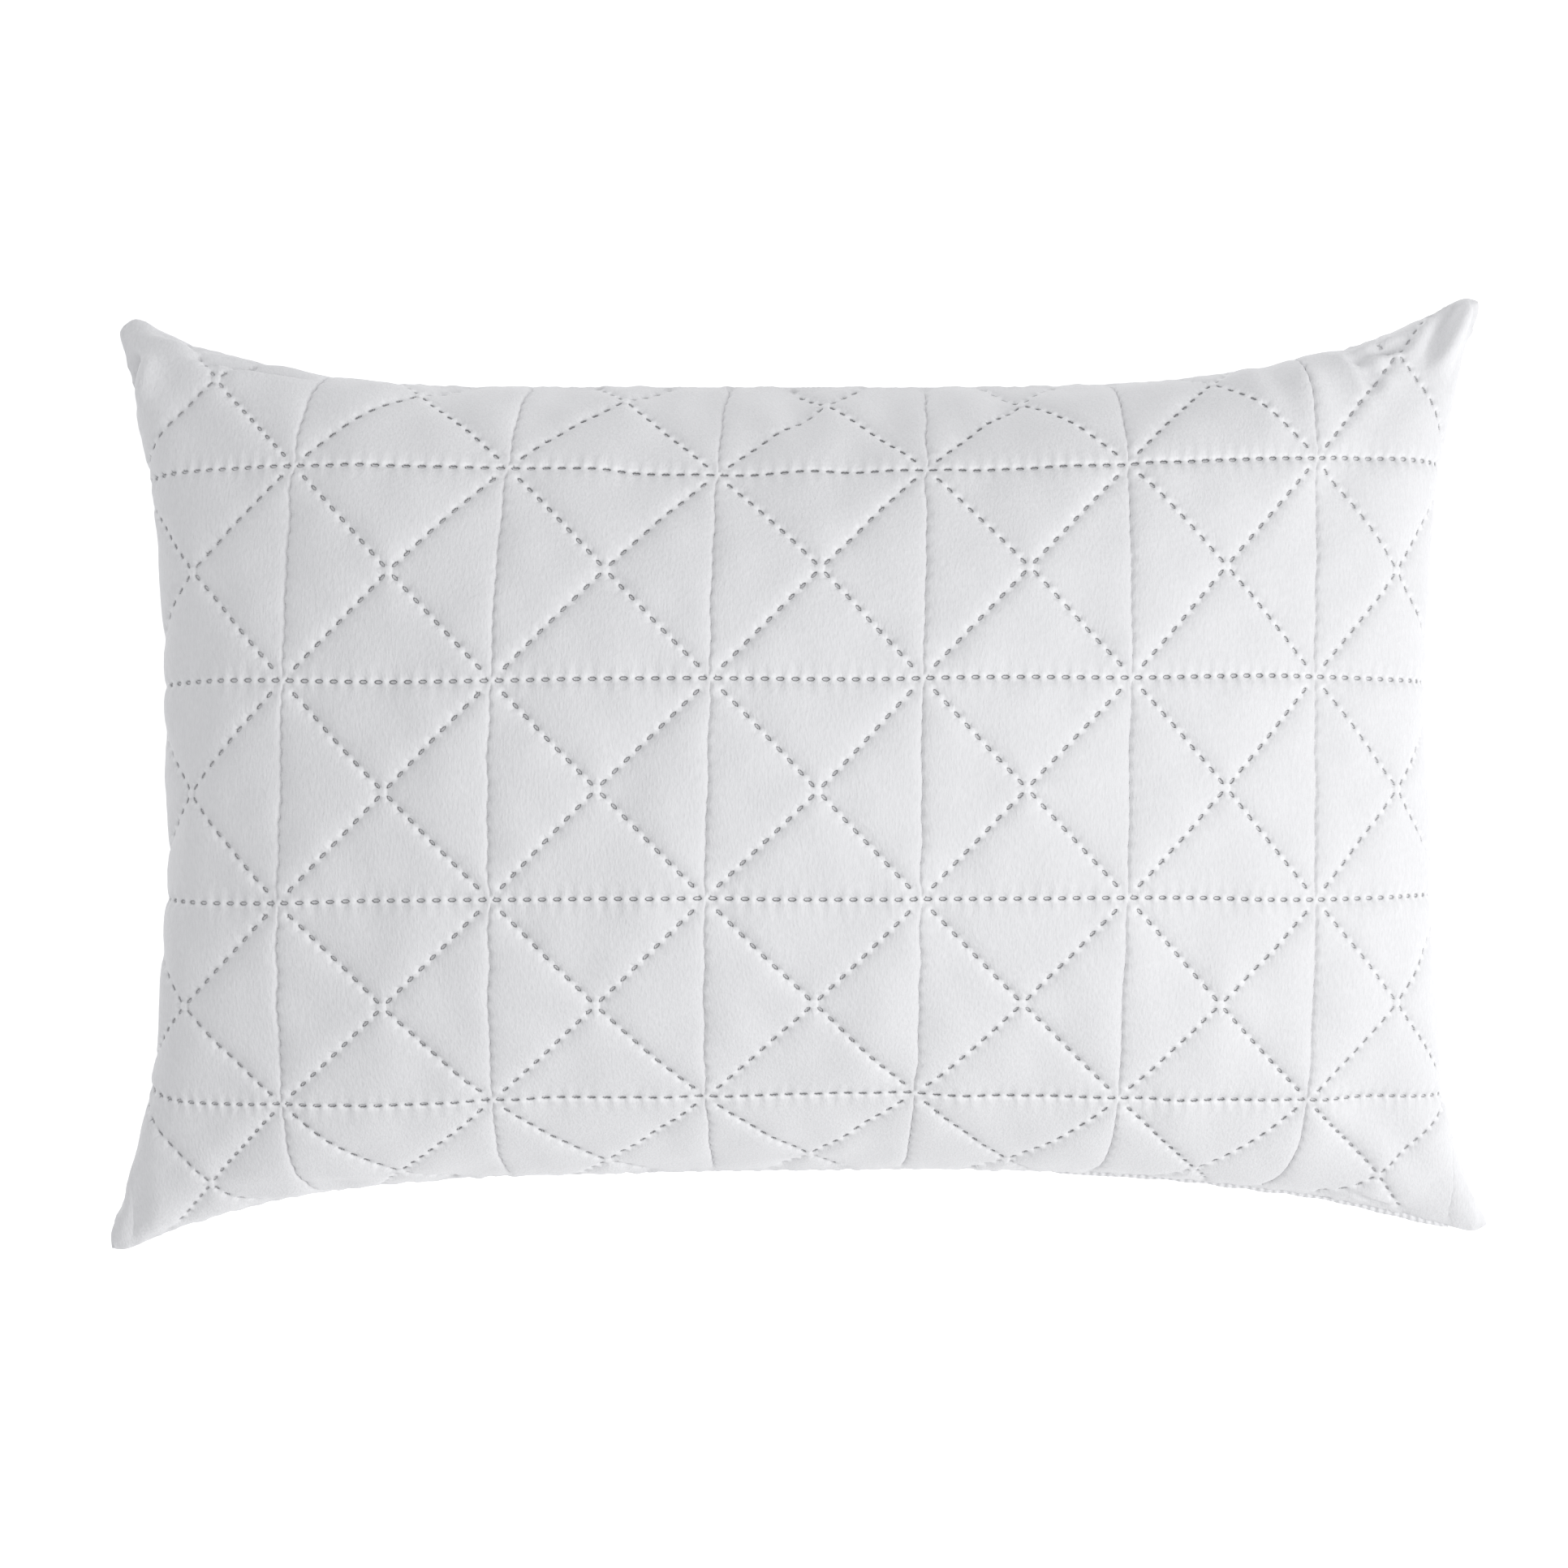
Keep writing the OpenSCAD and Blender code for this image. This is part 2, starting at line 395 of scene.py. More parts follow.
def to_panel(x, y):
    """Places on the panel of places on the quilting's own square grid."""
    turned_x = x * math.cos(LATTICE_TURN) - y * math.sin(LATTICE_TURN)
    turned_y = x * math.sin(LATTICE_TURN) + y * math.cos(LATTICE_TURN)
    u = turned_x + LATTICE_SHIFT[0] + LEAN * y + CREEP_X[0] * (1 - (turned_x / CREEP_X[1]) ** 2)
    u = u + CROWD_X[0] * (turned_x / CROWD_X[1]) ** 3 + BOW_X[0] * (turned_y / BOW_X[1]) ** 2
    v = turned_y + LATTICE_SHIFT[1] + BOW_Y[0] * (turned_x / BOW_Y[1]) ** 2
    v = v + CREEP_Y[0] * (1 - (turned_y / CREEP_Y[1]) ** 2)
    easing = 1 - 0.85 * smooth(0.285, 0.320, abs(turned_x))
    for end, draw in EDGE_DRAW.items():
        edge = np.exp(np.minimum(0.0, (end * v - HALF_V) / EDGE_DRAW_REACH))
        u = u - draw * easing * turned_x / EDGE_DRAW_AT * edge
    for (side, end), (along, across) in CORNER_DRAW.items():
        away_x = (side * turned_x - CORNER_AT[0]) / CORNER_REACH[0]
        away_y = (end * turned_y - CORNER_AT[1]) / CORNER_REACH[1]
        near = np.exp(-(away_x**2) - away_y**2)
        edge = np.exp(np.minimum(0.0, (side * u - HALF_U) / EDGE_DRAW_REACH))
        u = u - side * along * smooth(0.25, 0.37, side * turned_x) * smooth(0.10, 0.22, end * turned_y)
        v = v - end * (across * near + SIDE_DRAW[side, end] * smooth(0.0, 0.17, end * turned_y) * edge)
    return u + DRIFT[0] * waves(x, y, DRIFT[1], 3), v + DRIFT[0] * waves(x, y, DRIFT[1], 4)


def to_lattice(u, v):
    """The reverse of to_panel, by repeated correction."""
    x, y = u - LATTICE_SHIFT[0], v - LATTICE_SHIFT[1]
    for _ in range(12):
        new_u, new_v = to_panel(x, y)
        x, y = x + u - new_u, y + v - new_v
    return x, y


def line_places(x, y):
    """Signed distances from the nearest upright and level lines, and place along and off the diagonal."""
    a = (x / CELL_X - np.floor(x / CELL_X) - 0.5) * CELL_X
    b = (y / CELL_Y - np.floor(y / CELL_Y) - 0.5) * CELL_Y
    along = abs(a) * DIAGONAL_X + abs(b) * DIAGONAL_Y
    off = abs(a) * DIAGONAL_Y - abs(b) * DIAGONAL_X
    return a, b, along, off


def rounded(x, y):
    """Distance from the middle of a weld mark's shape, which is longer than an ellipse at its ends."""
    return (abs(x) ** 3 + abs(y) ** 3) ** (1 / 3)


def mark_distances(a, b, along, off):
    """Distance from the nearest weld mark, as a share of the mark's size and in metres."""
    row_x = np.mod(abs(a), PITCH_X) - PITCH_X / 2
    row = rounded(row_x / ROW_MARK[0], b / ROW_MARK[1])
    number = np.clip(np.round((along - FIRST_DIAGONAL_MARK) / PITCH_D), 0, MARKS_PER_HALF_DIAGONAL - 1)
    diagonal_x = along - FIRST_DIAGONAL_MARK - number * PITCH_D
    diagonal = rounded(diagonal_x / DIAGONAL_MARK[0], off / DIAGONAL_MARK[1])
    metres = np.minimum(np.hypot(0.7 * row_x, b), np.hypot(0.7 * diagonal_x, off))
    return np.minimum(row, diagonal), metres


def relief(x, y):
    """Height over the inflated shape, shift along u, how fused the fabric is with painted shade on each
    pit's wall, and how strong the painted highlight round each mark is.
    """
    a, b, along, off = line_places(x, y)
    row_beat = np.cos(math.tau * a / PITCH_X)
    column_beat = np.cos(math.tau * b / PITCH_Y)
    diagonal_beat = np.cos(math.tau * (along - FIRST_DIAGONAL_MARK) / PITCH_D)
    tightness = 1 + 0.18 * waves(x, y, 0.09, 11)
    reach = LINE_REACH * tightness
    row_hold = 0.88 - 0.10 * row_beat
    column_hold = 0.97 - 0.03 * column_beat
    middle = smooth(0.0, 0.008, HALF_DIAGONAL - along)
    diagonal_hold = (0.86 + 0.10 * diagonal_beat) * (0.55 + 0.45 * middle)
    a = a + 0.0003 * np.sin(math.tau * b / PITCH_Y + 1.1) + 0.0004 * waves(y, x, 0.022, 12)
    fading = 1 - 0.85 * smooth(*CREASE_ENDS, abs(x) / CELL_X)
    height = PUFF * (1 - column_hold * fading * np.exp(-abs(a) / (0.6 * reach)))
    height = height * (1 - row_hold * np.exp(-abs(b) / reach))
    height = height * (1 - diagonal_hold * np.exp(-abs(off) / reach))
    crease = CREASE_DEPTH * (0.66 - 0.34 * column_beat) * (1 - 0.8 * np.exp(-((b / 0.0028) ** 2)))
    crease = crease * fading
    height = height - crease * np.exp(-((a / CREASE_REACH) ** 2))
    side = np.sign(b)
    pucker_size = 0.55 + 0.45 * waves(x, side * 0.4, 0.013, 21)
    pucker_fall = np.exp(-abs(b) / PUCKER_REACH) * (1 - np.exp(-abs(b) / 0.0012))
    height = height + 2.0 * PUCKER * pucker_size * row_beat * pucker_fall
    radius, metres = mark_distances(*line_places(x, y))
    height = height - DIMPLE * np.exp(-metres / DIMPLE_REACH)
    height = height - MARK_DEPTH * smooth(1.30, 0.85, radius) + 0.0004 * smooth(0.7, 0.0, radius)
    # A dark ring on each mark's wall, faint at its middle: fused fabric with painted shade where the pit's
    # wall lies in shadow.
    fused_and_pit_shade = smooth(1.19, 1.0, radius) * (0.06 + 0.94 * smooth(0.66, 0.90, radius))
    # A ring round each mark lit up as a painted highlight, where the fabric bulges round the weld.
    halo_highlight = smooth(1.15, 1.50, radius) * smooth(2.6, 1.8, radius)
    shift = -np.sign(a) * CREASE_CLOSE * np.exp(-abs(a) / 0.0035) * (1 - np.exp(-abs(a) / 0.0005))
    return height, shift, fused_and_pit_shade, halo_highlight


# Folds that filling and handling left: place on the panel, direction, length, width, depth.
FOLDS = (
    (-0.3650, 0.2130, 82, 0.026, 0.0066, 0.0095),
    (-0.2960, 0.2262, 176, 0.060, 0.0040, 0.0025),
    (-0.2950, 0.2240, 178, 0.060, 0.0018, 0.0010),
    (-0.3330, 0.2380, 172, 0.050, 0.0030, 0.0015),
    (0.3566, 0.2281, 59, 0.046, 0.0055, -0.0045),
    (0.3480, 0.2300, 62, 0.040, 0.0060, 0.0030),
    (0.3113, 0.2238, 10, 0.030, 0.0036, 0.0028),
    (0.3015, 0.2145, 110, 0.034, 0.0042, 0.0030),
    (0.2565, 0.2040, 97, 0.060, 0.0075, 0.0022),
    (0.2830, 0.2050, 112, 0.050, 0.0060, 0.0010),
    (0.3063, -0.2405, 163, 0.024, 0.0022, 0.0022),
    (-0.3560, -0.2250, 80, 0.045, 0.0060, 0.0015),
    (-0.2620, -0.2220, 170, 0.080, 0.0045, 0.0010),
)


def folds(u, v):
    """Depth of the listed folds at panel places."""
    depth = np.zeros(len(u))
    for place_u, place_v, degrees, length, width, deep in FOLDS:
        turn = math.radians(degrees)
        along = (u - place_u) * math.cos(turn) + (v - place_v) * math.sin(turn)
        off = (v - place_v) * math.cos(turn) - (u - place_u) * math.sin(turn)
        body = np.exp(-((along / (length / 2)) ** 4))
        profile = np.exp(-((off / width) ** 2)) - 0.5 * np.exp(-(((off - 1.9 * width) / width) ** 2))
        profile = profile - 0.5 * np.exp(-(((off + 1.9 * width) / width) ** 2))
        depth = depth + deep * body * profile
    return depth


def fold_places():
    """A fine net of panel places over every fold."""
    found = []
    for place_u, place_v, degrees, length, width, _ in FOLDS:
        turn = math.radians(degrees)
        along, off = np.meshgrid(np.arange(-0.6 * length, 0.6 * length, 0.0024),
                                 np.arange(-2.8 * width, 2.9 * width, max(0.0012, 0.35 * width)))
        u = place_u + along * math.cos(turn) - off * math.sin(turn)
        v = place_v + along * math.sin(turn) + off * math.cos(turn)
        found.append(np.stack([u.ravel(), v.ravel()], 1))
    places = np.concatenate(found)
    inside = (abs(places[:, 0]) < HALF_U - EDGE_ROWS_WIDTH) & (abs(places[:, 1]) < HALF_V - EDGE_ROWS_WIDTH)
    return places[inside]


def edge_distance(u, v):
    """Distance to the panel's edge, and how far round the edge the nearest place is."""
    to_side, to_end = HALF_U - abs(u), HALF_V - abs(v)
    nearer_side = to_side < to_end
    round_edge = np.where(nearer_side, v + 3 * np.sign(u), u + 7 * np.sign(v))
    return np.minimum(to_side, to_end), round_edge


def seam_relief(u, v):
    """The rolled lip beside the seam and the small puckers that its stitches draw."""
    distance, place = edge_distance(u, v)
    lip = LIP * np.exp(-(((distance - LIP_AT) / 0.0020) ** 2))
    pucker = waves(place, place * 0, 0.011, 41) * np.exp(-distance / 0.010) * (distance > 0.0004)
    return lip * (distance > 0.0004) + SEAM_PUCKER * pucker


def deepest_fold(u, v, reach):
    """The most that the folds go down within reach of each place."""
    steps = (-reach, 0.0, reach) if reach else (0.0,)
    return np.max([folds(u + du, v + dv) for du in steps for dv in steps], axis=0)


def unevenness(panel, u, v, reach=0.0):
    """The soft rise and fall of the whole panel, with its folds, which the layers under it share."""
    height = 0.0004 * waves(u, v, 0.030, 31 + panel.face) + 0.0008 * waves(u, v, 0.085, 34 + panel.face)
    if panel.face == 1:
        height = height - deepest_fold(u, v, reach)
    return height


def away_from_edge(panel, u, v):
    """0 on the seam, rising to 1 inside it."""
    return 1 - np.exp(-((edge_distance(u, v)[0] / EDGE_REACH[panel.face]) ** 2))


def mark_strength(u, v):
    """How strongly the weld marks' fused ring with its painted shade and their painted highlight show: they
    are fainter near the sides, and most of all by one corner.
    """
    sides = smooth(SIDE_FADE[0], SIDE_FADE[1], abs(u) + 0.02 * (u > 0))
    ends = smooth(0.190, 0.235, abs(v))
    upper_left = smooth(0.215, 0.225, v) * smooth(0.20, 0.24, -u)
    return (1 - 0.30 * sides) * (1 - 0.20 * ends) * (1 - 0.75 * upper_left)


def panel_surface(panel, u, v):
    """Finished points of one panel, how fused each is with painted shade on each pit's wall, and how much
    painted highlight each has round the marks.
    """
    x, y = to_lattice(u, v)
    height, shift, fused_and_pit_shade, halo_highlight = relief(x, y)
    inside = away_from_edge(panel, u, v)
    seam_share = 1 if panel.face == 1 else BACK_SEAM_SHARE
    height = (height + unevenness(panel, u, v)) * inside + seam_relief(u, v) * seam_share
    point, normal, along = panel.at(u, v)
    point = point + normal * height[:, None] + along * (shift * inside)[:, None]
    if panel.face == -1:
        point[:, 2] = np.maximum(point[:, 2], LOW.z + 0.0003)
    # How strongly the marks' painted shade and painted highlight show here.
    mark_share = mark_strength(u, v) * inside
    return point, fused_and_pit_shade * mark_share, halo_highlight * mark_share


# ---------------------------------------------------------------- where the panel's points go

def mark_places():
    """Middles and directions of every weld mark on the level and diagonal lines, on the quilting's grid."""
    columns, rows = range(-4, 5), range(-3, 4)
    middles, directions, sizes = [], [], []
    for row in rows:
        for number in range(-5 * MARKS_PER_SIDE, 5 * MARKS_PER_SIDE):
            middles.append(((number + 0.5) * PITCH_X, (row + 0.5) * CELL_Y))
            directions.append((1.0, 0.0))
            sizes.append(ROW_MARK)
    for column in columns:
        for row in rows:
            for side in (-1, 1):
                for end in (-1, 1):
                    for number in range(MARKS_PER_HALF_DIAGONAL):
                        out = FIRST_DIAGONAL_MARK + number * PITCH_D
                        middles.append(((column + 0.5) * CELL_X + side * out * DIAGONAL_X,
                                        (row + 0.5) * CELL_Y + end * out * DIAGONAL_Y))
                        directions.append((side * DIAGONAL_X, end * DIAGONAL_Y))
                        sizes.append(DIAGONAL_MARK)
    return np.array(middles), np.array(directions), np.array(sizes)


def ring_points(middles, directions, sizes):
    """A middle point and a few rings round every mark."""
    across = np.stack([-directions[:, 1], directions[:, 0]], 1)
    found = [middles]
    for ring, count in RINGS:
        for k in range(count):
            angle = math.tau * (k + 0.5) / count
            out = ring / rounded(math.cos(angle), math.sin(angle))
            found.append(middles + directions * (sizes[:, :1] * out * math.cos(angle))
                         + across * (sizes[:, 1:] * out * math.sin(angle)))
    return np.concatenate(found)


def beside_diagonals(middles, directions):
    """Points along and beside the diagonals, between the marks and next to them."""
    across = np.stack([-directions[:, 1], directions[:, 0]], 1)
    found = []
    for ahead, offsets in ((0.5, (-0.0058, -0.0024, 0.0, 0.0024, 0.0058)), (0.0, (-0.0042, 0.0042))):
        for offset in offsets:
            found.append(middles + directions * PITCH_D * ahead + across * offset)
    return np.concatenate(found)


def line_rows(upright, offsets, step):
    """Points in rows along every upright or level line."""
    reach = 0.42
    steps = np.arange(-reach, reach, step)
    found = []
    cell = CELL_X if upright else CELL_Y
    for line in range(-4, 4):
        for offset in offsets:
            fixed = np.full(len(steps), (line + 0.5) * cell + offset)
            found.append(np.stack([fixed, steps] if upright else [steps, fixed], 1))
    return np.concatenate(found)


def edge_rows():
    """Points on the panel's edge and in rows beside it, in panel places."""
    found = []
    for inset, step in EDGE_ROWS:
        half_u, half_v = HALF_U - inset, HALF_V - inset
        along = np.linspace(-half_u, half_u, round(2 * half_u / step) + 1)
        up = np.linspace(-half_v, half_v, round(2 * half_v / step) + 1)[1:-1]
        for side in (-1, 1):
            found.append(np.stack([along, np.full(len(along), side * half_v)], 1))
            found.append(np.stack([np.full(len(up), side * half_u), up], 1))
    return np.concatenate(found)


class Room:
    """Remembers which places are taken, so that later points keep clear of earlier ones."""

    cell = 0.0004

    def __init__(self):
        self.size = (int(2 * HALF_V / self.cell) + 40, int(2 * HALF_U / self.cell) + 40)
        self.taken = np.zeros(self.size, bool)

    def place(self, points):
        column = ((points[:, 0] + HALF_U) / self.cell).astype(int) + 15
        row = ((points[:, 1] + HALF_V) / self.cell).astype(int) + 15
        return row, column

    def add(self, points, clear):
        """The points inside the panel and clear of earlier ones, which are then taken themselves."""
        inside = (abs(points[:, 0]) <= HALF_U) & (abs(points[:, 1]) <= HALF_V)
        points = points[inside]
        row, column = self.place(points)
        points = points[~self.taken[row, column]]
        row, column = self.place(points)
        reach = int(clear / self.cell)
        for j in range(-reach, reach + 1):
            for i in range(-reach, reach + 1):
                if i * i + j * j <= reach * reach:
                    self.taken[row + j, column + i] = True
        return points


def panel_points():
    """All the places of a panel's vertices, fine round the marks and lines and coarse between."""
    middles, directions, sizes = mark_places()
    lattice_sets = (
        (line_rows(True, (0.0, -0.0005, 0.0005, -0.0012, 0.0012, -0.0026, 0.0026), PITCH_Y / 5), 0.0010),
        (line_rows(False, (-0.0028, 0.0028, -0.0048, 0.0048), PITCH_X / 6), 0.0012),
        (beside_diagonals(middles, directions), 0.0016),
        (line_rows(True, (-0.0052, 0.0052), PITCH_Y / 3), 0.0018),
        (line_rows(False, (-0.0078, 0.0078), PITCH_X / 4), 0.0018),
    )
    edge = edge_rows()
    rings = inner_places(ring_points(middles, directions, sizes))
    found = [edge, rings]
    room = Room()
    room.add(edge, 0.0009)
    room.add(rings, 0.0009)
    for points, clear in lattice_sets:
        found.append(room.add(inner_places(points), clear))
    found.append(room.add(fold_places(), 0.0012))
    found.append(room.add(background_places(), 0.0018))
    return np.concatenate(found)


def inner_places(points):
    """Panel places of quilting places, without those in the rows beside the edge."""
    u, v = to_panel(points[:, 0], points[:, 1])
    inside = (abs(u) < HALF_U - EDGE_ROWS_WIDTH) & (abs(v) < HALF_V - EDGE_ROWS_WIDTH)
    return np.stack([u, v], 1)[inside]


def background_places():
    """An even triangular net of panel places for the plain fabric between the lines."""
    step = BACKGROUND_STEP
    across = np.arange(-HALF_V, HALF_V, step * math.sqrt(3) / 2)
    rows = []
    for number, v in enumerate(across):
        u = np.arange(-HALF_U + (number % 2) * step / 2, HALF_U, step)
        rows.append(np.stack([u, np.full(len(u), v)], 1))
    net = np.concatenate(rows)
    inside = (abs(net[:, 0]) < HALF_U - EDGE_ROWS_WIDTH) & (abs(net[:, 1]) < HALF_V - EDGE_ROWS_WIDTH)
    return net[inside]


def triangulate(places):
    """Vertices and triangles over flat places."""
    verts, _, faces, *_ = delaunay_2d_cdt([Vector(p) for p in places], [], [], 0, 1e-6, False)
    return np.array([tuple(v) for v in verts]), faces


# ---------------------------------------------------------------- pieces

def piece(name, verts, faces, body="root"):
    """A smooth-shaded mesh object riding on a body."""
    mesh = bpy.data.meshes.new(name)
    mesh.from_pydata([tuple(v) for v in verts], [], [tuple(f) for f in faces])
    mesh.polygons.foreach_set("use_smooth", [True] * len(mesh.polygons))
    mesh.update()
    made = bpy.data.objects.new(name, mesh)
    bpy.context.scene.collection.objects.link(made)
    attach(made, body)
    return made


def shell_piece(name, panel, places, faces, node):
    """One quilted face as a sheet of fabric with its weld marks."""
    verts, fused_and_pit_shade, halo_highlight = panel_surface(panel, places[:, 0], places[:, 1])
    turned = faces if panel.face == 1 else [f[::-1] for f in faces]
    made = piece(name, verts, turned)
    # Per-vertex masks: the welds' fused ring, darkened as painted shade on each pit's wall, and the painted
    # highlight round each mark.
    for name, values in (("fused_and_pit_shade", fused_and_pit_shade), ("halo_highlight", halo_highlight)):
        attribute = made.data.attributes.new(name, "FLOAT", "POINT")
        attribute.data.foreach_set("value", values.astype(np.float32))
    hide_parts(node)
    return made


def layer_points(panel, other, u, v, depth):
    """Points that far below one panel, crowding together where the two panels close in on each other.

    Beside a seam that lies in a groove the other panel faces this one from outside, so there the
    way in is straight down from the surface, with full room.
    """
    point, normal, _ = panel.at(u, v)
    facing = other.at(u, v)[0] - point
    gap = np.linalg.norm(facing, axis=1)
    toward = facing / np.maximum(gap, 1e-6)[:, None]
    grooved = smooth(-0.35, -0.05, np.sum(toward * normal, axis=1))
    lean = np.maximum(smooth(0.012, 0.045, gap), grooved)[:, None]
    inward = toward * (1 - lean) - normal * lean
    inward /= np.linalg.norm(inward, axis=1)[:, None]
    share = np.maximum(np.minimum(1.0, gap / (2 * LAYER_ROOM)), grooved)
    rise = unevenness(panel, u, v, reach=0.6 * LAYER_STEP)
    rise = np.minimum(rise, rise * share)
    return point - inward * (rise - depth * share)[:, None]


def layer_grid():
    """Even places over the panel, a little inside its edge, and the grid's size."""
    half_u, half_v = HALF_U - LAYER_INSET, HALF_V - LAYER_INSET
    columns, rows = round(2 * half_u / LAYER_STEP), round(2 * half_v / LAYER_STEP)
    u, v = np.meshgrid(np.linspace(-half_u, half_u, columns + 1), np.linspace(-half_v, half_v, rows + 1))
    return u.ravel(), v.ravel(), columns, rows


def closed_faces(columns, rows):
    """Quads of two stacked grids, the second turned over, with a wall round their edge."""
    def number(sheet, i, j):
        return sheet * (columns + 1) * (rows + 1) + j * (columns + 1) + i

    faces = []
    for j in range(rows):
        for i in range(columns):
            quad = [(i, j), (i + 1, j), (i + 1, j + 1), (i, j + 1)]
            faces.append([number(0, *c) for c in quad])
            faces.append([number(1, *c) for c in quad[::-1]])
    rim = [(i, 0) for i in range(columns)] + [(columns, j) for j in range(rows)]
    rim += [(i, rows) for i in range(columns, 0, -1)] + [(0, j) for j in range(rows, 0, -1)]
    for here, there in zip(rim, rim[1:] + rim[:1]):
        faces.append([number(1, *here), number(1, *there), number(0, *there), number(0, *here)])
    return faces


def layer_piece(name, top, bottom, node, slot):
    """A closed layer between two sets of grid points, top outermost."""
    _, _, columns, rows = layer_grid()
    made = piece(name, np.concatenate([top, bottom]), closed_faces(columns, rows))
    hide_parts(node)
    return made


def inner_layers(front_side, back_side):
    """Wadding and lining under each face, and the fibre fill between them."""
    u, v, _, _ = layer_grid()
    made = {}
    for side, (panel, other) in (("front", (front_side, back_side)), ("back", (back_side, front_side))):
        for kind, top, bottom in (("wadding", WADDING_TOP, WADDING_BOTTOM),
                                  ("lining", LINING_TOP, LINING_BOTTOM)):
            outer = layer_points(panel, other, u, v, top)
            inner = layer_points(panel, other, u, v, bottom)
            pair = (outer, inner) if side == "front" else (inner, outer)
            made[side, kind] = layer_piece(f"{side}_{kind}_layer", *pair, f"{side}_{kind}", kind)
    clumps = 0.0007 * (1 + waves(u, v, 0.022, 51))
    upper = layer_points(front_side, back_side, u, v, FILL_TOP + clumps)
    lower = layer_points(back_side, front_side, u, v, FILL_TOP + clumps)
    made["fill"] = layer_piece("fibre_fill_body", upper, lower, "fibre_fill", "fibre_fill")
    return made


# ---------------------------------------------------------------- the seam

def seam_frames(u, v):
    """On the seam: points, unit directions along it, into the pillow, and through the two fabrics."""
    point = front_panel.at(u, v)[0]
    inner_u = np.clip(u, SEAM_AIM - HALF_U, HALF_U - SEAM_AIM)
    inner_v = np.clip(v, SEAM_AIM - HALF_V, HALF_V - SEAM_AIM)
    middle = (front_panel.at(inner_u, inner_v)[0] + back_panel.at(inner_u, inner_v)[0]) / 2
    inward = middle - point
    inward /= np.linalg.norm(inward, axis=1)[:, None]
    along = np.roll(point, -1, axis=0) - np.roll(point, 1, axis=0)
    along[0], along[-1] = along[1], along[-2]
    along /= np.linalg.norm(along, axis=1)[:, None]
    through = np.cross(along, inward)
    through /= np.linalg.norm(through, axis=1)[:, None]
    return point, along, inward, through


def seam_stations(step):
    """Places right round the panel's edge, counter-clockwise."""
    columns, rows = round(FLAT_LENGTH / step), round(FLAT_WIDTH / step)
    along = np.linspace(-HALF_U, HALF_U, columns + 1)
    up = np.linspace(-HALF_V, HALF_V, rows + 1)
    u = np.concatenate([along[:-1], np.full(rows, HALF_U), along[:0:-1], np.full(rows, -HALF_U)])
    v = np.concatenate([np.full(columns, -HALF_V), up[:-1], np.full(columns, HALF_V), up[:0:-1]])
    return u, v


def tube_faces(stations, sides, closed, first=0):
    """Quads of a tube of rings, joined end to end or capped at both ends."""
    faces = []
    for k in range(stations if closed else stations - 1):
        following = (k + 1) % stations
        for i in range(sides):
            j = (i + 1) % sides
            faces.append([first + k * sides + i, first + following * sides + i,
                          first + following * sides + j, first + k * sides + j])
    if not closed:
        faces.append([first + i for i in range(sides)])
        faces.append([first + (stations - 1) * sides + i for i in range(sides)][::-1])
    return faces


def thread_rings(path, radius, sides):
    """Rings of points round a path of points, for a thread."""
    along = np.gradient(path, axis=0)
    along /= np.maximum(np.linalg.norm(along, axis=1), 1e-9)[:, None]
    side = np.cross(along, (0.31, 0.52, 0.79))
    side /= np.linalg.norm(side, axis=1)[:, None]
    up = np.cross(along, side)
    angle = np.arange(sides) * math.tau / sides
    ring = path[:, None] + radius * (np.cos(angle)[None, :, None] * side[:, None]
                                     + np.sin(angle)[None, :, None] * up[:, None])
    return ring.reshape(-1, 3)


def slimmer_at_corners(u, v):
    """The share of the raw edges' thickness that there is room for in the pillow's thin tips."""
    return 0.12 + 0.88 * smooth(0.0, 0.050, np.hypot(HALF_U - abs(u), HALF_V - abs(v)))


def seam_allowance_piece():
    """The two raw edges, turned to the inside all round and lying together."""
    u, v = seam_stations(0.004)
    point, _, inward, through = seam_frames(u, v)
    reach = (0.0008, 0.0020, ALLOWANCE - 0.0012, ALLOWANCE - 0.0003)
    slim = slimmer_at_corners(u, v)
    section = [(r, 1.0) for r in reach] + [(r, -1.0) for r in reach[::-1]]
    ripple = 0.0007 * waves(u + 3 * v, v - u, 0.030, 61)
    rings = []
    for out, side in section:
        thick = ALLOWANCE_THICKNESS / 2 * (0.7 if out in (reach[0], reach[-1]) else 1.0)
        lift = slim * (side * thick + ripple * out / ALLOWANCE)
        rings.append(point + inward * out + through * lift[:, None])
    verts = np.stack(rings, 1).reshape(-1, 3)
    made = piece("seam_allowance_strip", verts, tube_faces(len(u), len(section), True))
    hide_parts("seam_allowance")
    return made


def overlock_piece():
    """A thread looped over the raw edges all round."""
    per_loop = 5
    u, v = seam_stations(OVERLOCK_PITCH / per_loop)
    point, _, inward, through = seam_frames(u, v)
    angle = np.arange(len(u)) * math.tau / per_loop
    ripple = 0.0007 * waves(u + 3 * v, v - u, 0.030, 61)
    out = ALLOWANCE - 0.0014 + 0.0020 * np.cos(angle)
    lift = ((ALLOWANCE_THICKNESS / 2 + 0.0005) * np.sin(angle) + ripple) * slimmer_at_corners(u, v)
    path = point + inward * out[:, None] + through * lift[:, None]
    verts = thread_rings(path, OVERLOCK_THREAD, 4)
    made = piece("seam_overlock_loops", verts, tube_faces(len(path), 4, True))
    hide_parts("seam_overlock_thread")
    return made


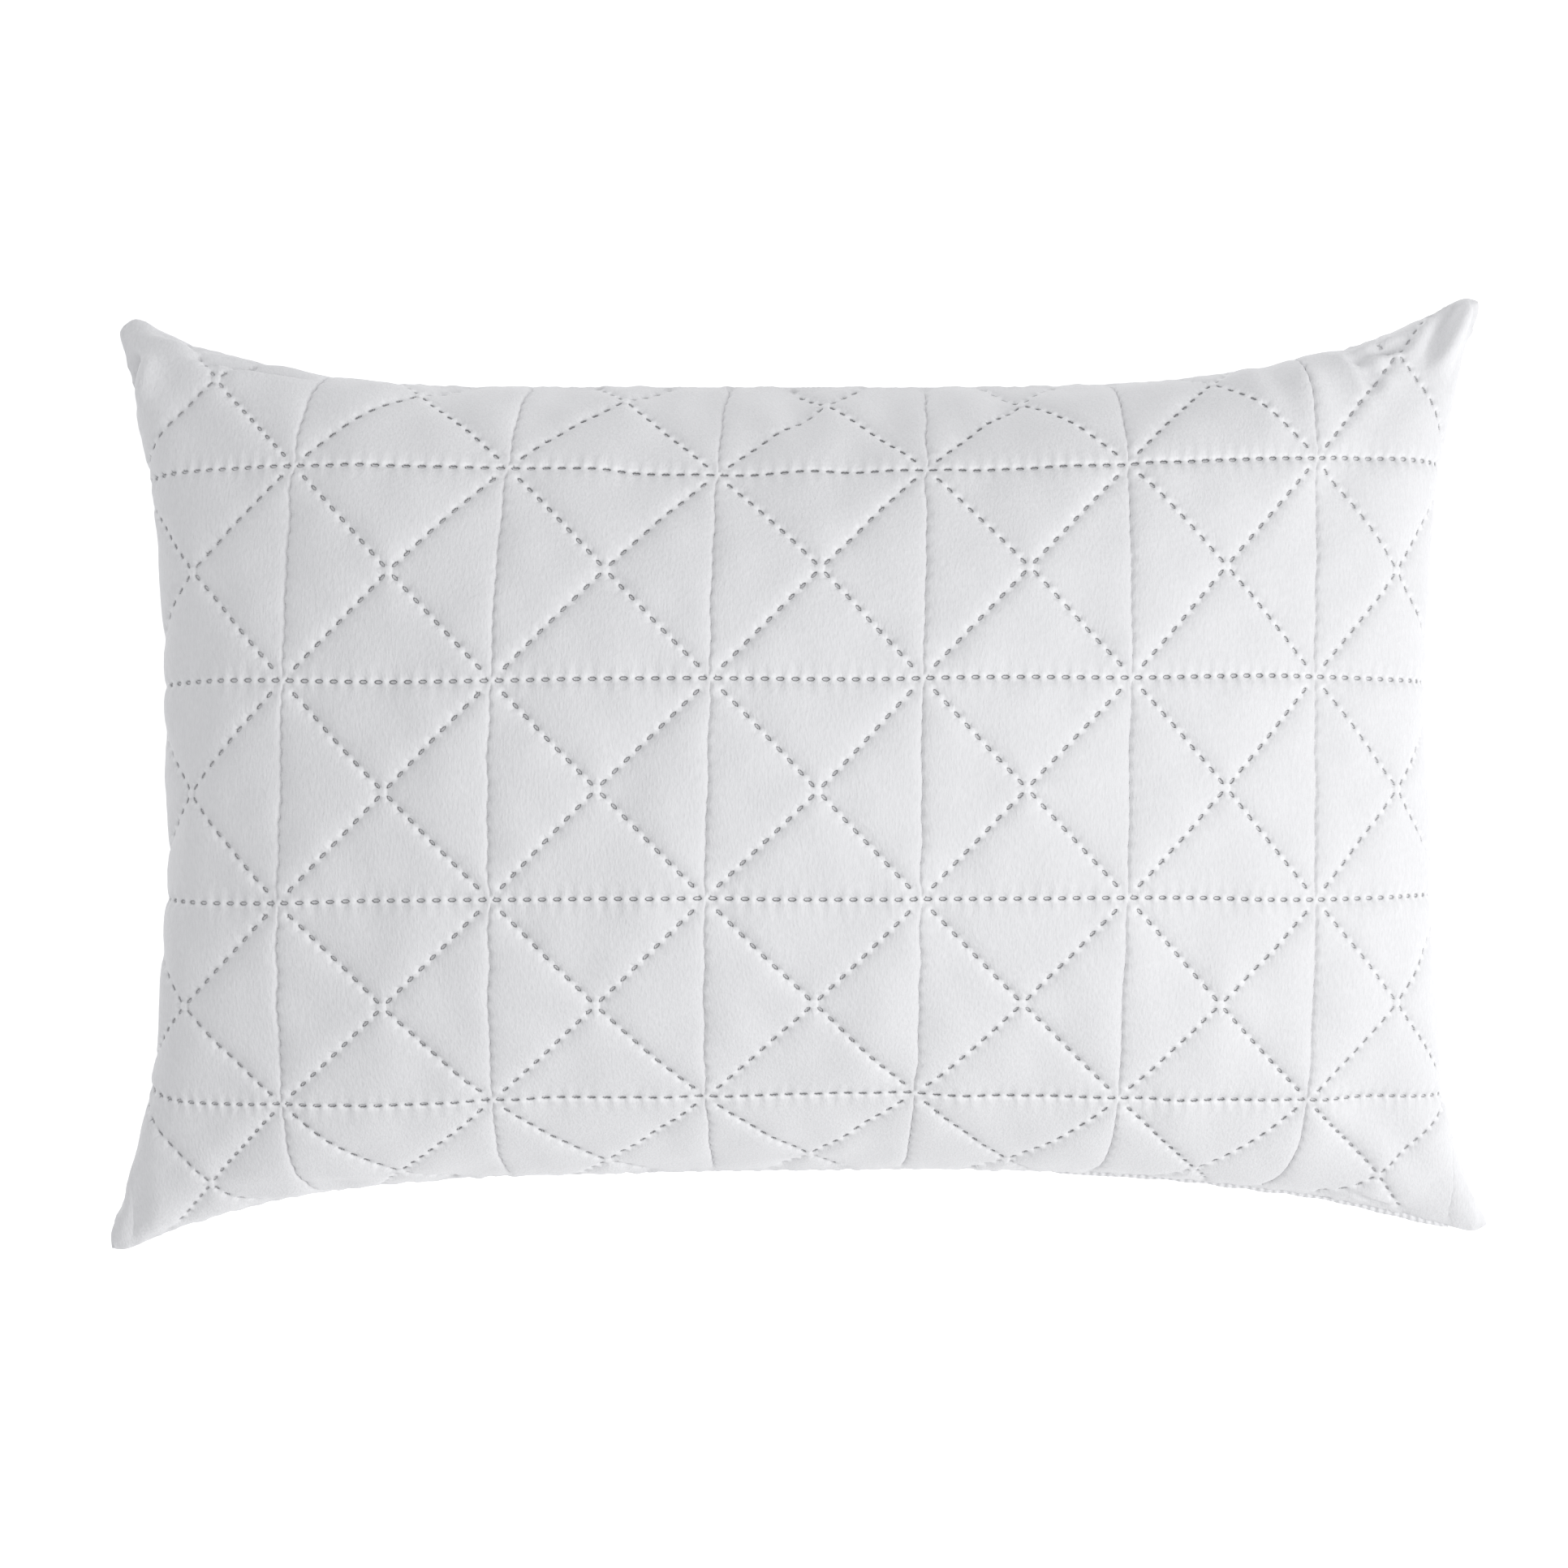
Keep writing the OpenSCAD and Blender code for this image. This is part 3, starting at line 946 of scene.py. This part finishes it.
def ridge_frames(step):
    """Seam frames along the closed opening, and the distance along it."""
    left, right = tip(-1, -1)[0], tip(1, -1)[0]
    count = round((RIDGE_HIGH.x - RIDGE_LOW.x) / step) + 1
    x = np.linspace(RIDGE_LOW.x, RIDGE_HIGH.x, count)
    u = HALF_U * (2 * (x - left) / (right - left) - 1)
    return (*seam_frames(u, np.full(count, -HALF_V)), (x - x[0]))


def ridge_section(length, total):
    """The ridge's reach outward, half thickness and sideways sway, place by place along it."""
    ends = smooth(0, 0.006, length) * smooth(0, 0.006, total - length)
    beat = np.cos(math.tau * length / STITCH_PITCH)
    uneven = waves(length, length * 0, 0.020, 71)
    out = RIDGE_OUT * (1 + 0.06 * beat + 0.25 * uneven) * (0.35 + 0.65 * ends)
    thick = RIDGE_HALF_THICKNESS * (1 + 0.16 * beat + 0.12 * uneven) * (0.35 + 0.65 * ends)
    sway = 0.00045 * np.sin(math.tau * length / STITCH_PITCH) * ends
    return out, thick, sway


def closing_ridge_piece():
    """The rolled, puckered lip along the opening that was closed after filling."""
    sides = 14
    point, _, inward, through, length = ridge_frames(STITCH_PITCH / 6)
    out, thick, sway = ridge_section(length, length[-1])
    angle = np.arange(sides) * math.tau / sides
    rings = []
    for a in angle:
        outward = out * math.cos(a) + 0.0006
        lift = thick * math.sin(a) + sway
        rings.append(point - inward * outward[:, None] + through * lift[:, None])
    verts = np.stack(rings, 1).reshape(-1, 3)
    made = piece("closing_ridge", verts, tube_faces(len(point), sides, False))
    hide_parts("closing_seam_ridge")
    return made


def closing_stitches_piece():
    """Slanting stitches whipped over the ridge, one thread loop per pitch."""
    sides, steps = 6, 11
    point, along, inward, through, length = ridge_frames(STITCH_PITCH / 10)
    out, thick, sway = ridge_section(length, length[-1])
    verts, faces = [], []
    first = 12
    for start in range(first, len(point) - 16 - first, 10):
        path = []
        for k in range(steps):
            here = start + k
            angle = math.radians(-125 + 250 * k / (steps - 1))
            outward = (out[here] - STITCH_SUNK) * math.cos(angle) + 0.0006
            lift = (thick[here] - STITCH_SUNK) * math.sin(angle) + sway[here]
            path.append(point[here] - inward[here] * outward + through[here] * lift)
        faces += tube_faces(steps, sides, False, first=len(verts) * steps * sides)
        verts.append(thread_rings(np.array(path), STITCH_THREAD, sides))
    made = piece("closing_thread", np.concatenate(verts), faces)
    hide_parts("closing_stitches")
    return made


# ---------------------------------------------------------------- materials

def new_material(name):
    """A new material with its nodes and its shader."""
    material = bpy.data.materials.new(name)
    material.use_nodes = True
    tree = material.node_tree
    shader = tree.nodes["Principled BSDF"]
    return material, tree, shader


def node(tree, kind, inputs=None, **settings):
    """A shader node with its inputs linked or set."""
    made = tree.nodes.new(kind)
    for key, value in settings.items():
        setattr(made, key, value)
    for key, value in (inputs or {}).items():
        if isinstance(value, bpy.types.NodeSocket):
            tree.links.new(value, made.inputs[key])
        else:
            made.inputs[key].default_value = value
    return made


def grain_noise(tree, scale, stretch=(1.0, 1.0, 1.0), detail=3):
    """Noise in the piece's own metres, drawn out by stretch."""
    place = node(tree, "ShaderNodeTexCoord").outputs["Object"]
    drawn = node(tree, "ShaderNodeMapping", {"Vector": place, "Scale": stretch}).outputs[0]
    settings = {"Vector": drawn, "Scale": scale, "Detail": detail}
    return node(tree, "ShaderNodeTexNoise", settings).outputs["Fac"]


def mixed(tree, factor, first, second):
    """A colour between two others."""
    made = node(tree, "ShaderNodeMix", {"Factor": factor, "A": first, "B": second}, data_type="RGBA")
    return made.outputs["Result"]


def bumped(tree, shader, height, strength, distance):
    bump = node(tree, "ShaderNodeBump", {"Height": height, "Strength": strength, "Distance": distance})
    tree.links.new(bump.outputs["Normal"], shader.inputs["Normal"])


def fabric_material():
    """Cool white brushed cotton with an upright grain, darker and smoother where the welds fuse it, the
    dark ring mostly painted shade on each pit's wall, and with a painted highlight round each mark.
    """
    material, tree, shader = new_material("quilted_cotton")
    grain = grain_noise(tree, 900, stretch=(1.0, 0.28, 1.0))
    speckle = grain_noise(tree, 420, detail=4)
    patch = grain_noise(tree, 7, detail=2)
    fused_and_pit_shade = node(tree, "ShaderNodeAttribute", attribute_name="fused_and_pit_shade").outputs["Fac"]
    halo_highlight = node(tree, "ShaderNodeAttribute", attribute_name="halo_highlight").outputs["Fac"]
    tint = mixed(tree, patch, FABRIC_COLORS[0], FABRIC_COLORS[1])
    shade = node(tree, "ShaderNodeMapRange", {"Value": grain, "From Min": 0.3, "From Max": 0.7,
                                              "To Min": 0.96, "To Max": 1.025}).outputs[0]
    toned = node(tree, "ShaderNodeVectorMath", {0: tint, 1: shade}, operation="MULTIPLY").outputs[0]
    # A painted highlight round each mark, where the bulging fabric would catch the light.
    toned_with_halo = mixed(tree, halo_highlight, toned, HALO_HIGHLIGHT_COLOR)
    # The welds' ring: fused fabric, made far darker as painted shade on each pit's wall.
    tree.links.new(mixed(tree, fused_and_pit_shade, toned_with_halo, FUSED_AND_PIT_SHADE_COLOR), shader.inputs["Base Color"])
    rough = node(tree, "ShaderNodeMapRange", {"Value": fused_and_pit_shade, "To Min": 0.72, "To Max": 0.42}).outputs[0]
    tree.links.new(rough, shader.inputs["Roughness"])
    shader.inputs["Sheen Weight"].default_value = 0.08
    shader.inputs["Sheen Roughness"].default_value = 0.5
    shader.inputs["Specular IOR Level"].default_value = 0.35
    total = node(tree, "ShaderNodeMath", {0: grain, 1: speckle}, operation="ADD").outputs[0]
    bumped(tree, shader, total, 0.8, 0.0004)
    return material


def fibre_material(name, colors, scale, stretch, roughness, strength):
    """Loose or woven fibres: two close colours and a bump along the same noise."""
    material, tree, shader = new_material(name)
    noise = grain_noise(tree, scale, stretch, detail=5)
    tree.links.new(mixed(tree, noise, *colors), shader.inputs["Base Color"])
    shader.inputs["Roughness"].default_value = roughness
    shader.inputs["Sheen Weight"].default_value = 0.15
    bumped(tree, shader, noise, strength, 0.0008)
    return material


def floor_material():
    """A plain white surface, a little self-lit so that it reads as pure white."""
    material, tree, shader = new_material("floor_white")
    shader.inputs["Base Color"].default_value = (0.9, 0.9, 0.9, 1)
    shader.inputs["Roughness"].default_value = 0.9
    shader.inputs["Emission Color"].default_value = (1, 1, 1, 1)
    shader.inputs["Emission Strength"].default_value = 0.5
    return material


# ---------------------------------------------------------------- camera, light and floor

def camera():
    data = bpy.data.cameras.new("camera")
    data.sensor_width = SENSOR
    data.lens = SENSOR * CAMERA_HEIGHT / FIELD_WIDTH
    made = bpy.data.objects.new("camera", data)
    made.location = (CAMERA_PLACE[0], CAMERA_PLACE[1], SEAM_Z + CAMERA_HEIGHT)
    made.rotation_euler = (0, 0, CAMERA_ROLL)
    bpy.context.scene.collection.objects.link(made)
    bpy.context.scene.camera = made


def area_light(name, place, aim, size, power):
    data = bpy.data.lights.new(name, "AREA")
    data.shape = "DISK"
    data.size = size
    data.energy = power
    made = bpy.data.objects.new(name, data)
    made.location = place
    made.rotation_euler = (Vector(aim) - Vector(place)).to_track_quat("-Z", "Y").to_euler()
    made.visible_camera = False
    bpy.context.scene.collection.objects.link(made)


def studio():
    """Soft light from the right and a pale floor under the pillow."""
    area_light("key", (2.0, -0.6, 1.7), (0, 0, 0.1), 1.4, 26.5)
    area_light("overhead", (0.2, 0.2, 2.4), (0, 0, 0.1), 2.0, 13)
    world = bpy.data.worlds.new("studio")
    world.use_nodes = True
    background = world.node_tree.nodes["Background"]
    background.inputs["Color"].default_value = (0.97, 0.98, 1.0, 1)
    background.inputs["Strength"].default_value = 0.52
    bpy.context.scene.world = world
    bpy.context.scene.view_settings.view_transform = "Standard"
    half = 6.0
    mesh = bpy.data.meshes.new("floor")
    corners = [(-half, -half, LOW.z - 0.001), (half, -half, LOW.z - 0.001),
               (half, half, LOW.z - 0.001), (-half, half, LOW.z - 0.001)]
    mesh.from_pydata(corners, [], [(0, 1, 2, 3)])
    floor = bpy.data.objects.new("floor", mesh)
    mesh.materials.append(floor_material())
    bpy.context.scene.collection.objects.link(floor)


camera()
studio()
front_grid, back_grid = settle(*inflate())
front_panel, back_panel = Panel(front_grid, 1), Panel(back_grid, -1)
panel_places, panel_faces = triangulate(panel_points())
front = shell_piece("front_shell", front_panel, panel_places, panel_faces, "front_shell_panel")
back = shell_piece("back_shell", back_panel, panel_places, panel_faces, "back_shell_panel")
layers = inner_layers(front_panel, back_panel)
allowance = seam_allowance_piece()
overlock = overlock_piece()
ridge = closing_ridge_piece()
stitches = closing_stitches_piece()
cotton = fabric_material()
for shell in (front, back, ridge, allowance):
    shell.data.materials.append(cotton)
wadding = fibre_material("wadding", WADDING_COLORS, 160, (1.0, 1.0, 3.0), 0.9, 0.6)
lining = fibre_material("lining_web", LINING_COLORS, 700, (1.0, 0.5, 1.0), 0.8, 0.25)
hollow_fibre = fibre_material("hollow_fibre", FILL_COLORS, 90, (1.0, 1.0, 1.0), 0.95, 0.9)
polyester_thread = fibre_material("polyester_thread", THREAD_COLORS, 2500, (1.0, 1.0, 0.3), 0.45, 0.2)
for side in ("front", "back"):
    layers[side, "wadding"].data.materials.append(wadding)
    layers[side, "lining"].data.materials.append(lining)
layers["fill"].data.materials.append(hollow_fibre)
for thread in (overlock, stitches):
    thread.data.materials.append(polyester_thread)
